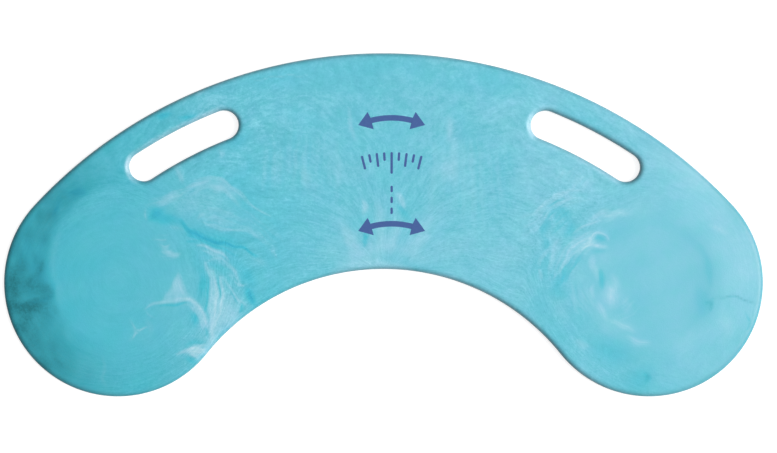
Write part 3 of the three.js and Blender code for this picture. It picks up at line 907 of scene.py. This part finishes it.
def painted_rim_light(spots):
    """Light and shade painted onto the rolled rims, by a wall's inset and how far it faces left. It gives
    painted grey shade along the rims, deepest where they face left, away from the light; painted shade on
    the turn of walls that face right at the right end, which damps their highlight; and a painted highlight
    on the slots' walls that face right, towards the light."""
    probe_step = 0.0002
    edge_width = 0.0029
    turn_inset, turn_width = 0.0028, 0.0022
    lip_inset, lip_width = 0.0015, 0.0045
    left_lip_highlight, right_lip_highlight = 1.3, 0.62
    x = spots[:, 0]
    beside = spots + np.array([probe_step, 0])
    inset, inset_beside = (np.minimum(edge_distance(s)[0], slot_distance(s)) for s in (spots, beside))
    facing_left = np.clip((inset_beside - inset) / probe_step, -1, 1)
    facing_right = np.clip(-facing_left, 0, 1)
    # Painted shade along the rims, deepest on those that face left, away from the light.
    rim = bell(np.maximum(inset, 0), edge_width) * np.clip(1 + 1.2 * facing_left, 0, 1.6)
    rim = rim * (1 - 0.12 * smooth((-0.24 - x) / 0.08))
    # Painted shade on right-facing turns of the rims at the right end, to damp their highlight.
    turned = bell(inset - turn_inset, turn_width) * facing_right * smooth((x - 0.2) / 0.1)
    # Painted highlight on the slots' walls that face right, towards the light.
    painted_lip_highlight = (1 - smooth((slot_distance(spots) - lip_inset) / lip_width)) * facing_right**1.2
    return rim, turned, painted_lip_highlight * (left_lip_highlight + (right_lip_highlight - left_lip_highlight) * smooth((x + 0.1) / 0.2))


def marbling(points):
    """Tone, shade, painted rim shade, stream, grain and rippled at each point of the slab. The tone and
    shade also hold painted light and shade of the rims, the ends and the steps along the board.
    """
    bend_size = 0.0006
    palest, pale_knee = 0.92, 1.12
    sunk_depth = 0.012
    middle_width, middle_top, middle_blend = 0.12, 0.13, 0.06
    rise_of_fibres = 2.0
    calm_left, calm_right = 0.40, 0.15
    calm_radius, calm_fade = 0.050, 0.045
    spots = points[:, :2]
    x, y = spots.T
    depth_below = top_face - points[:, 2]
    bent = spots + bend_size * np.stack([waves(spots, *bend_waves, seed) for seed in (11, 12)], axis=1)

    paler = stroke_field(bent, pale_strokes + hairs_of(pale_sheaves, 31), 21)
    bluer = stroke_field(bent, blue_strokes + hairs_of(blue_sheaves, 32), 22)
    darker = stroke_field(bent, dark_strokes + hairs_of(dark_sheaves, 33), 23)
    tone = palest * np.tanh(paler / pale_knee) - bluer + stroke_field(bent, broad_strokes, 24)
    tone = tone * smooth(1.3 - depth_below / sunk_depth)
    tone = tone + 0.03 * waves(spots, *tone_waves, 13) - 0.01 + steps_along(x, tone_steps)
    tone = tone - 0.07 * bell(x, middle_width) * smooth((middle_top - y) / middle_blend)

    # The left end's dark crescent: partly the polymer's own deeper tone, partly painted shade of its slope,
    # which turns away from the light.
    crescent, patchy, crescent_shade = left_crescent(spots, bent)
    # Painted light on the rims: grey shade, strongest where they face away from the light; shade on
    # right-facing turns at the right end; and a highlight on the slots' walls that face the light.
    rim, turned, painted_lip_highlight = painted_rim_light(spots)
    tone = tone - 0.32 * patchy + 0.08 * rim + painted_lip_highlight + right_disc(spots)
    shade = patchy * crescent_shade + darker + 0.055 * (1 - crescent) * smooth((-0.25 - x) / 0.06)
    shade = shade + 0.07 * smooth((-0.15 - x) / 0.10) * smooth((-0.095 - y) / 0.045)
    # Painted shade at the right end: the shade step there, and the turns of the rims that face right.
    shade = shade + steps_along(x, shade_steps) + 0.20 * turned

    stream = melt_stream(spots) + 0.0022 * waves(spots, *stream_waves, 14) + rise_of_fibres * depth_below
    ring, _ = round_lobe(np.stack([np.abs(x), y], axis=1), 1)
    calm = np.where(x < 0, calm_left, calm_right)
    grain = calm + (1 - calm) * smooth((ring - calm_radius) / calm_fade)
    grain = grain * (1.5 + steps_along(x, grain_steps))
    rippled = np.full(len(spots), crackle_elsewhere)
    for middle, half_axes, slant, share, gain in crackled_zones:
        away = bent - at_pixels([middle])
        lean = math.radians(slant)
        along = (away[:, 0] * math.cos(lean) + away[:, 1] * math.sin(lean)) / (half_axes[0] * pixel)
        across = (away[:, 1] * math.cos(lean) - away[:, 0] * math.sin(lean)) / (half_axes[1] * pixel)
        within = smooth((1.1 - np.hypot(along, across)) / 0.4)
        rippled = np.maximum(rippled, share * within)
        grain = grain * (1 + gain * within)
    grain = grain * (1 - 0.55 * np.tanh(paler))
    return tone, shade, 0.30 * rim, stream, grain, rippled


board, board_points = new_piece("marbled_board", *slab_surface())
# Layers of the marbling. The third holds the painted grey shade along the rims.
layer_names = ("tone", "shade", "painted_rim_shade", "stream", "grain", "rippled")
for name, values in zip(layer_names, marbling(board_points)):
    layer = board.data.attributes.new(name, "FLOAT", "POINT")
    layer.data.foreach_set("value", values.astype(np.float32))
board.data.shade_smooth()
board.data.set_sharp_from_angle(angle=math.radians(35))


def srgb(red, green, blue):
    """Linear colour from the 0 to 255 numbers that a picture shows."""
    values = np.array([red, green, blue]) / 255
    linear = np.where(values <= 0.04045, values / 12.92, ((values + 0.055) / 1.055) ** 2.4)
    return (*linear, 1.0)


def new_node(tree, kind, inputs=None, **settings):
    """A node with its settings. Its inputs, by name or number, are numbers, colours or linked sockets."""
    node = tree.nodes.new(f"ShaderNode{kind}")
    for setting, value in settings.items():
        setattr(node, setting, value)
    for key, value in (inputs or {}).items():
        if isinstance(value, bpy.types.NodeSocket):
            tree.links.new(value, node.inputs[key])
        else:
            node.inputs[key].default_value = value
    return node


def new_material(name):
    """A node material: itself, its tree, its Principled shader and the place on the object."""
    material = bpy.data.materials.new(name)
    material.use_nodes = True
    tree = material.node_tree
    return material, tree, tree.nodes["Principled BSDF"], new_node(tree, "TexCoord").outputs["Object"]


def calculated(tree, operation, *inputs):
    """The result of a Math node."""
    return new_node(tree, "Math", dict(enumerate(inputs)), operation=operation).outputs[0]


def vector_calculated(tree, operation, *inputs):
    """The result of a Vector Math node."""
    return new_node(tree, "VectorMath", dict(enumerate(inputs)), operation=operation).outputs[0]


def sum_of(tree, *terms, start=0.0):
    """Terms are (socket, factor): the node sockets times their factors, added up from a start."""
    for socket, factor in terms:
        start = calculated(tree, "MULTIPLY_ADD", socket, factor, start)
    return start


def mapped(tree, value, source, target, clamp=True):
    """A socket's value moved from one range to another."""
    inputs = {"Value": value, "From Min": source[0], "From Max": source[1]}
    inputs |= {"To Min": target[0], "To Max": target[1]}
    return new_node(tree, "MapRange", inputs, clamp=clamp).outputs["Result"]


def noise_on(tree, vector, scale, detail, roughness, distortion=0.0):
    """Noise of a vector socket, moved to run from about -1 to 1."""
    inputs = {"Vector": vector, "Scale": scale, "Detail": detail, "Roughness": roughness}
    noise = new_node(tree, "TexNoise", inputs | {"Distortion": distortion}).outputs["Fac"]
    return mapped(tree, noise, (0.25, 0.75), (-1, 1), clamp=False)


def colour_mix(tree, factor, first, second):
    """The first colour turned into the second by a factor."""
    return new_node(tree, "Mix", {"Factor": factor, 6: first, 7: second}, data_type="RGBA").outputs[2]


def add_bump(tree, shader, height, strength):
    """Relief on a shader: a fifth of a millimetre, at this strength."""
    bump = new_node(tree, "Bump", {"Strength": strength, "Distance": 0.0002, "Height": height})
    tree.links.new(bump.outputs[0], shader.inputs["Normal"])


def attribute_of(tree, name):
    """A float attribute of the mesh."""
    return new_node(tree, "Attribute", attribute_name=name).outputs["Fac"]


def marbled_polymer():
    """Satin moulded polymer. Fibres are noise on (x, y, stream), drawn out along the stream."""
    fibre_size, streak_size = (0.0095, 0.0023), (0.030, 0.0090)
    material, tree, shader, place = new_material("marbled_polymer")
    tone, shade, painted_rim_shade, stream, grain, rippled = (attribute_of(tree, name) for name in layer_names)
    x, y, _ = new_node(tree, "SeparateXYZ", {0: place}).outputs

    def fibre_space(length, width):
        shares = ((x, 1 / length), (y, 1 / length), (stream, 1 / width))
        inputs = [calculated(tree, "MULTIPLY", socket, factor) for socket, factor in shares]
        return new_node(tree, "CombineXYZ", dict(enumerate(inputs))).outputs[0]

    combed = noise_on(tree, fibre_space(*fibre_size), 1, 4, 0.62, 0.35)
    crackle = {"Vector": place, "Rotation": (0, 0, math.radians(12)), "Scale": (150, 330, 150)}
    ripples = noise_on(tree, new_node(tree, "Mapping", crackle).outputs[0], 1, 3, 0.6, 1.6)
    fine = new_node(tree, "Mix", {"Factor": rippled, "A": combed, "B": ripples}).outputs["Result"]
    broad = noise_on(tree, fibre_space(*streak_size), 1, 3, 0.6, 0.4)
    specks = noise_on(tree, place, 330, 2, 0.6, 1.0)
    texture = sum_of(tree, (fine, 0.85), (specks, 0.42), (broad, 0.40))
    fibres = calculated(tree, "MULTIPLY", grain, texture)
    stroked = calculated(tree, "MULTIPLY", tone, sum_of(tree, (fine, 0.16), (specks, 0.05)))
    level = sum_of(tree, (tone, 0.5), (fibres, 0.085), (stroked, 0.5), start=0.5)

    ramp = new_node(tree, "ValToRGB", {0: level})
    stops = ramp.color_ramp.elements
    while len(stops) < len(melt_colours):
        stops.new(0.5)
    for number, colour in enumerate(melt_colours):
        stops[number].position = number / (len(melt_colours) - 1)
        stops[number].color = srgb(*colour)

    hue_noise = noise_on(tree, place, 60, 5, 0.65)
    hue = vector_calculated(tree, "MULTIPLY_ADD", hue_noise, hue_drift, (1.0, 1.0, 1.0))
    tinted = vector_calculated(tree, "MULTIPLY", ramp.outputs["Color"], hue)
    lustre = sum_of(tree, (fibres, 0.11), start=1.0)
    lit = new_node(tree, "VectorMath", {0: tinted, "Scale": lustre}, operation="SCALE").outputs[0]

    mottling = sum_of(tree, (specks, 0.22), (fine, 0.16), (broad, 0.10))
    mottled = calculated(tree, "MULTIPLY", shade, mottling)
    shaded = colour_mix(tree, calculated(tree, "ADD", shade, mottled), lit, srgb(*deep_colour))
    # Painted grey shade along the rims, mixed over the base colour.
    edged = colour_mix(tree, painted_rim_shade, shaded, srgb(*painted_rim_shade_colour))
    tree.links.new(edged, shader.inputs["Base Color"])
    rough = sum_of(tree, (noise_on(tree, place, 90, 3, 0.6), 0.03), (fine, 0.015), start=0.38)
    tree.links.new(rough, shader.inputs["Roughness"])
    add_bump(tree, shader, noise_on(tree, place, 900, 2, 0.5), 0.12)
    return material


board.data.materials.append(marbled_polymer())
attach(board, "root")
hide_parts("board")


# Centre mark: a generic mark screen-printed in dark blue ink on the middle of the sliding face.
# A curved two-way arrow shows the way of sliding and a row of plain ticks shows the board's middle.
ink_low = top_face
ink_high = top_face + ink_thickness
mark_x = 0.0075
arrow_tops = (0.0985, 0.0010)
arrow_radius = 0.075
arrow_half_angle = 0.42
arrow_stem = 0.0026
arrow_head = 0.0085
arrow_head_length = 0.012
arrow_point = 0.0002
arrow_stem_steps = 33
bar_half_width = 0.0011
bar_point = 0.00005
tick_centre = np.array([mark_x, -0.045])
tick_radius = 0.112
tick_angle = 0.062
middle_tick, even_tick, odd_tick = 0.020, 0.013, 0.008
dash_top = 0.036
dash_pitch = 0.010
dash_length = 0.006


def ink_strip(path, half_widths):
    """A flat film of ink along a path of points, with a half width at each: top, bottom and edges."""
    path = np.asarray(path, float)
    ahead = np.gradient(path, axis=0)
    ahead = ahead / np.hypot(*ahead.T)[:, None]
    sideways = np.stack([-ahead[:, 1], ahead[:, 0]], axis=1)
    reach = np.asarray(half_widths)[:, None] * sideways
    left, right = path + reach, path - reach
    section = [(right, ink_low), (left, ink_low), (left, ink_high), (right, ink_high)]
    grid = np.stack([np.column_stack([p, np.full(len(p), z)]) for p, z in section], axis=1)
    last = 4 * (len(path) - 1)
    ends = np.array([[0, 2, 1], [0, 3, 2], [last, last + 1, last + 2], [last, last + 2, last + 3]])
    return grid, np.concatenate([band_triangles(grid), ends])


def arrow_strip(top):
    """A two-way arrow on an arc: narrow at both tips, it widens to each head and drops to the stem."""
    neck = arrow_half_angle - arrow_head_length / arrow_radius
    barb = 0.04 * arrow_head_length / arrow_radius
    stem = np.linspace(-neck + barb, neck - barb, arrow_stem_steps)
    turn = np.concatenate([[-arrow_half_angle, -neck], stem, [neck, arrow_half_angle]])
    stem_widths = np.full(arrow_stem_steps, arrow_stem)
    widths = np.concatenate([[arrow_point, arrow_head], stem_widths, [arrow_head, arrow_point]])
    return ink_strip(np.array([mark_x, top - arrow_radius]) + arrow_radius * rays_at(turn), widths)


def bar_strip(start, end):
    """A straight bar of ink with round ends: near an end the half width follows a circle."""
    start, end = np.array(start), np.array(end)
    length = np.hypot(*(end - start))
    turn = np.linspace(0, math.pi / 2, 9)
    cap = bar_half_width * (1 - np.cos(turn))
    travelled = np.concatenate([cap, length - cap[::-1]])
    widths = bar_half_width * np.concatenate([np.sin(turn), np.sin(turn)[::-1]])
    path = start + np.outer(travelled / length, end - start)
    return ink_strip(path, np.maximum(widths, bar_point))


mark_strips = [arrow_strip(top) for top in arrow_tops]
for number in range(-4, 5):
    ray = rays_at(tick_angle * number)
    tick = middle_tick if number == 0 else even_tick if number % 2 == 0 else odd_tick
    ends = (tick_centre + tick_radius * ray, tick_centre + (tick_radius - tick) * ray)
    mark_strips.append(bar_strip(*ends))
for number in range(3):
    top = dash_top - dash_pitch * number
    mark_strips.append(bar_strip((mark_x, top), (mark_x, top - dash_length)))
centre_mark, _ = new_piece("centre_mark", *joined(mark_strips))


def mottled_finish(name, scale, detail, strength, colours, roughness):
    """A finish of two close colours, the second mottled into the first by noise."""
    material, tree, shader, place = new_material(name)
    mottling = calculated(tree, "MULTIPLY", noise_on(tree, place, scale, detail, 0.6), strength)
    tree.links.new(colour_mix(tree, mottling, *colours), shader.inputs["Base Color"])
    shader.inputs["Roughness"].default_value = roughness
    return material


# The ink is a little uneven where the squeegee left it thin.
ink_colours = (srgb(50, 86, 150), srgb(74, 110, 168))
centre_mark.data.materials.append(mottled_finish("print_ink", 420, 3, 0.25, ink_colours, 0.5))
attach(centre_mark, "root")


# Non-slip pads: moulded discs of black rubber with round-edged ribs, stuck in the board's recesses.
# Each has a hub, rings of ribs with grooves between them, and a wider rim that stands on the floor.
pad_ribs = 5
pad_hub_radius = 0.009
pad_rim_width = 0.007
groove_width = 0.004
groove_depth = 0.0008
groove_draft = 0.0005
rib_round = 0.00035
pad_edge_round = 0.0005
pad_segments = 160


def rounded(corners, radii, steps=5):
    """A profile with its corners rounded: each corner becomes a parabola between points a radius away."""
    corners = np.asarray(corners, float)
    pieces = [corners[:1]]
    t = np.linspace(0, 1, steps)[:, None]
    for before, corner, after, radius in zip(corners[:-2], corners[1:-1], corners[2:], radii):
        back = before - corner
        ahead = after - corner
        start = corner + back * min(0.5, radius / np.hypot(*back))
        end = corner + ahead * min(0.5, radius / np.hypot(*ahead))
        pieces.append((1 - t) ** 2 * start + 2 * t * (1 - t) * corner + t**2 * end)
    return np.concatenate([*pieces, corners[-1:]])


def pad_surface(side):
    """A disc turned about its upright middle line from its profile of radius and height."""
    pitch = (pad_radius - pad_rim_width - pad_hub_radius) / pad_ribs
    corners = [(0.0, 0.0)]
    for groove in range(pad_ribs):
        inner = pad_hub_radius + groove * pitch
        outer = inner + groove_width
        corners += [(inner, 0.0), (inner + groove_draft, groove_depth)]
        corners += [(outer - groove_draft, groove_depth), (outer, 0.0)]
    corners += [(pad_radius, 0.0), (pad_radius, pad_high.z), (0.0, pad_high.z)]
    radii = [rib_round] * (4 * pad_ribs) + [pad_edge_round, pad_edge_round / 2]
    radius, height = rounded(corners, radii).T
    ray = circle_rays(pad_segments)
    rings = band(lobe * np.array([side, 1.0]) + 0 * ray, ray, radius, height[:, None] + pad_low.z)
    return rings, band_triangles(rings)


def pad_rubber():
    """Matt black rubber with a fine cast grain, dusty grey where it is worn."""
    material, tree, shader, place = new_material("pad_rubber")
    dust = noise_on(tree, place, 60, 5, 0.65)
    worn = mapped(tree, dust, (-0.2, 1.2), (0, 1))
    grey = colour_mix(tree, worn, srgb(38, 40, 43), srgb(62, 64, 67))
    tree.links.new(grey, shader.inputs["Base Color"])
    tree.links.new(sum_of(tree, (dust, 0.05), start=0.78), shader.inputs["Roughness"])
    add_bump(tree, shader, noise_on(tree, place, 1400, 2, 0.5), 0.5)
    return material


rubber = pad_rubber()
for side, node in ((-1, "left_pad"), (1, "right_pad")):
    pad, _ = new_piece(f"{node}_ribbed", *joined([pad_surface(side)]))
    pad.data.shade_smooth()
    pad.data.set_sharp_from_angle(angle=math.radians(50))
    pad.data.materials.append(rubber)
    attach(pad, "root")
    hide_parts(node)


# Adhesive: a thin clear film on a cream carrier between each pad and the ceiling of its recess.
# The CAD discs have the right shape, so they stay and only get their finish, faintly mottled.
film_colours = (srgb(214, 208, 190), srgb(226, 221, 206))
film = mottled_finish("adhesive_film", 150, 4, 0.5, film_colours, 0.55)
for node in ("left_pad_adhesive", "right_pad_adhesive"):
    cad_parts[node].data.materials.clear()
    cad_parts[node].data.materials.append(film)


# Studio: a plain pale floor that stays white to the camera apart from the board's shadow, a soft sun
# from the right, a large soft box there for the satin face's sheen, and a pale room that is white to
# the camera and lights the object most from the right and from above.
floor_size = 12.0
floor_grey = 0.45
floor_glow = 0.80
sheen_place = (1.15, 0.1, 1.8)
sheen_aim = (0.2, 0, 0)
sheen_size = 1.6
sheen_watts = 6
sun_strength = 2.14
sun_width = math.radians(35)
sun_tilt = math.radians(42)


def seen_by_camera(tree):
    """1 for camera rays, also through clear things, and the outputs of the Light Path node."""
    rays = new_node(tree, "LightPath").outputs
    return calculated(tree, "MAXIMUM", rays["Is Camera Ray"], rays["Is Transmission Ray"]), rays


def pale_floor():
    """Pale matt sheet, lifted to white for camera rays and for what gloss and glass show."""
    material, tree, shader, _ = new_material("pale_floor")
    seen, rays = seen_by_camera(tree)
    glow = calculated(tree, "MULTIPLY", calculated(tree, "MAXIMUM", seen, rays["Is Glossy Ray"]), floor_glow)
    tree.links.new(glow, shader.inputs["Emission Strength"])
    shader.inputs["Emission Color"].default_value = (1, 1, 1, 1)
    shader.inputs["Base Color"].default_value = (floor_grey, floor_grey, floor_grey, 1)
    shader.inputs["Roughness"].default_value = 0.9
    shader.inputs["Specular IOR Level"].default_value = 0.0
    return material


def new_lamp(name, kind, energy, rotation, place=(0, 0, 0)):
    """A lamp in the scene: its data, for what its kind needs besides."""
    data = bpy.data.lights.new(name, kind)
    data.energy = energy
    lamp = bpy.data.objects.new(name, data)
    lamp.location = place
    lamp.rotation_euler = rotation
    bpy.context.scene.collection.objects.link(lamp)
    return data


def light_room():
    """The world: its strength is a product of two ranges, by how far a ray goes right and up."""
    world = bpy.data.worlds.new("pale_room")
    world.use_nodes = True
    bpy.context.scene.world = world
    tree = world.node_tree
    ray = new_node(tree, "TexCoord").outputs["Generated"]
    right, _, up = new_node(tree, "SeparateXYZ", {0: ray}).outputs
    from_right = mapped(tree, right, (-0.9, 0.1), (0.03, 0.52))
    from_above = mapped(tree, up, (0.3, 0.9), (0.06, 1.62))
    strength = calculated(tree, "MULTIPLY", from_right, from_above)
    light = tree.nodes["Background"]
    light.inputs["Color"].default_value = (1.0, 1.0, 1.0, 1)
    tree.links.new(strength, light.inputs["Strength"])
    white = new_node(tree, "Background", {"Color": (1, 1, 1, 1), "Strength": 1.0})
    inputs = {0: seen_by_camera(tree)[0], 1: light.outputs[0], 2: white.outputs[0]}
    chosen = new_node(tree, "MixShader", inputs).outputs[0]
    tree.links.new(chosen, tree.nodes["World Output"].inputs["Surface"])


floor_corners = floor_size / 2 * np.array([[-1, -1, 0], [1, -1, 0], [1, 1, 0], [-1, 1, 0]])
floor, _ = new_piece("floor", floor_corners, np.array([[0, 1, 2], [0, 2, 3]]))
floor.data.materials.append(pale_floor())

sheen_way = (Vector(sheen_aim) - Vector(sheen_place)).to_track_quat("-Z", "Y").to_euler()
new_lamp("sheen", "AREA", sheen_watts, sheen_way, sheen_place).size = sheen_size
new_lamp("key", "SUN", sun_strength, (0, sun_tilt, 0)).angle = sun_width
light_room()

bpy.context.scene.view_settings.view_transform = "Standard"
